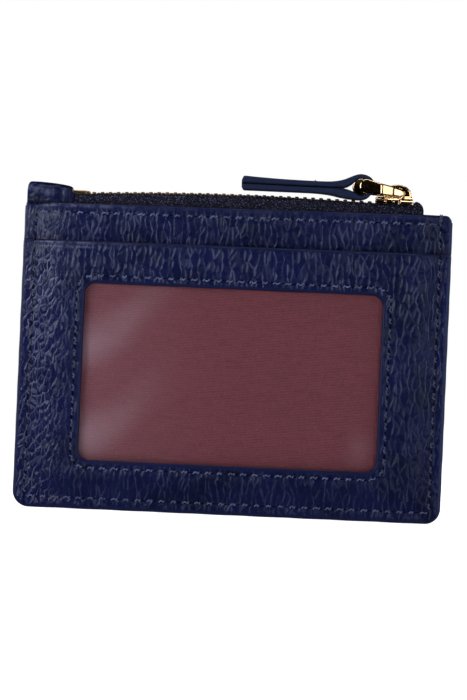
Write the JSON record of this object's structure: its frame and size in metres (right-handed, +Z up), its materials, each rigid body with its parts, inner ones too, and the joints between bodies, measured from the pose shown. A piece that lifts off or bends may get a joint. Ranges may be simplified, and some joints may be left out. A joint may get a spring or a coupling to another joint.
{
  "type": "card holder",
  "caption": "Slim zip card case with a windowed identity pocket in front, stepped card slots behind and a leather pull on the zip slider.",
  "frame": {"origin": "centre of the bounding box's bottom, at the case's bottom edge", "axes": "+Z up towards the zip, -Y out of the window side, +X towards the closed end of the zip"},
  "size_m": [0.108, 0.0092, 0.0876],
  "materials": {
    "front_leather": "pebbled, semi-matte",
    "back_leather": "pebbled, semi-matte",
    "trim_leather": "pebbled, semi-matte",
    "lining": "fine horizontal ribs",
    "film": "clear flexible film, slightly hazy",
    "thread": "waxed thread",
    "tape": "woven",
    "teeth_brass": "antique, worn bright on the crests",
    "polished_brass": "polished"
  },
  "bodies": {
    "case": {"window_panel": "front_leather", "front_panel": "front_leather", "back_panel": "back_leather", "card_slot_high": "back_leather", "card_slot_mid": "back_leather", "card_slot_low": "back_leather", "zip_end_cap": "trim_leather", "pocket_lining_front": "lining", "pocket_lining_back": "lining", "id_pocket_lining": "lining", "window_film": "film", "window_seam_thread": "thread", "top_seam_thread_front": "thread", "top_seam_thread_back": "thread", "perimeter_seam_thread_front": "thread", "perimeter_seam_thread_back": "thread", "end_cap_thread": "thread", "zip_tape_front": "tape", "zip_tape_rear": "tape", "zip_teeth_front": "teeth_brass", "zip_teeth_rear": "teeth_brass", "zip_bottom_stop": "polished_brass", "zip_top_stops": "polished_brass"},
    "slider": {"slider_body": "polished_brass", "slider_crown": "polished_brass"},
    "pull_link": {"pull_link": "polished_brass"},
    "pull_tab": {"pull_tab": "trim_leather", "pull_tab_thread": "thread"}
  },
  "joints": [
    {"name": "zip_slide", "type": "slide", "parent": "case", "child": "slider", "axis": [-1, 0, 0], "range_m": [0, 0.066]},
    {"name": "pull_swing", "type": "hinge", "parent": "slider", "child": "pull_link", "pos_m": [0.0405, 0, 0.0832], "axis": [0, 1, 0], "range_deg": [0, 140]},
    {"name": "tab_swing", "type": "hinge", "parent": "pull_link", "child": "pull_tab", "pos_m": [0.0305, 0, 0.08435], "axis": [0, 1, 0], "range_deg": [0, 28]}
  ]
}
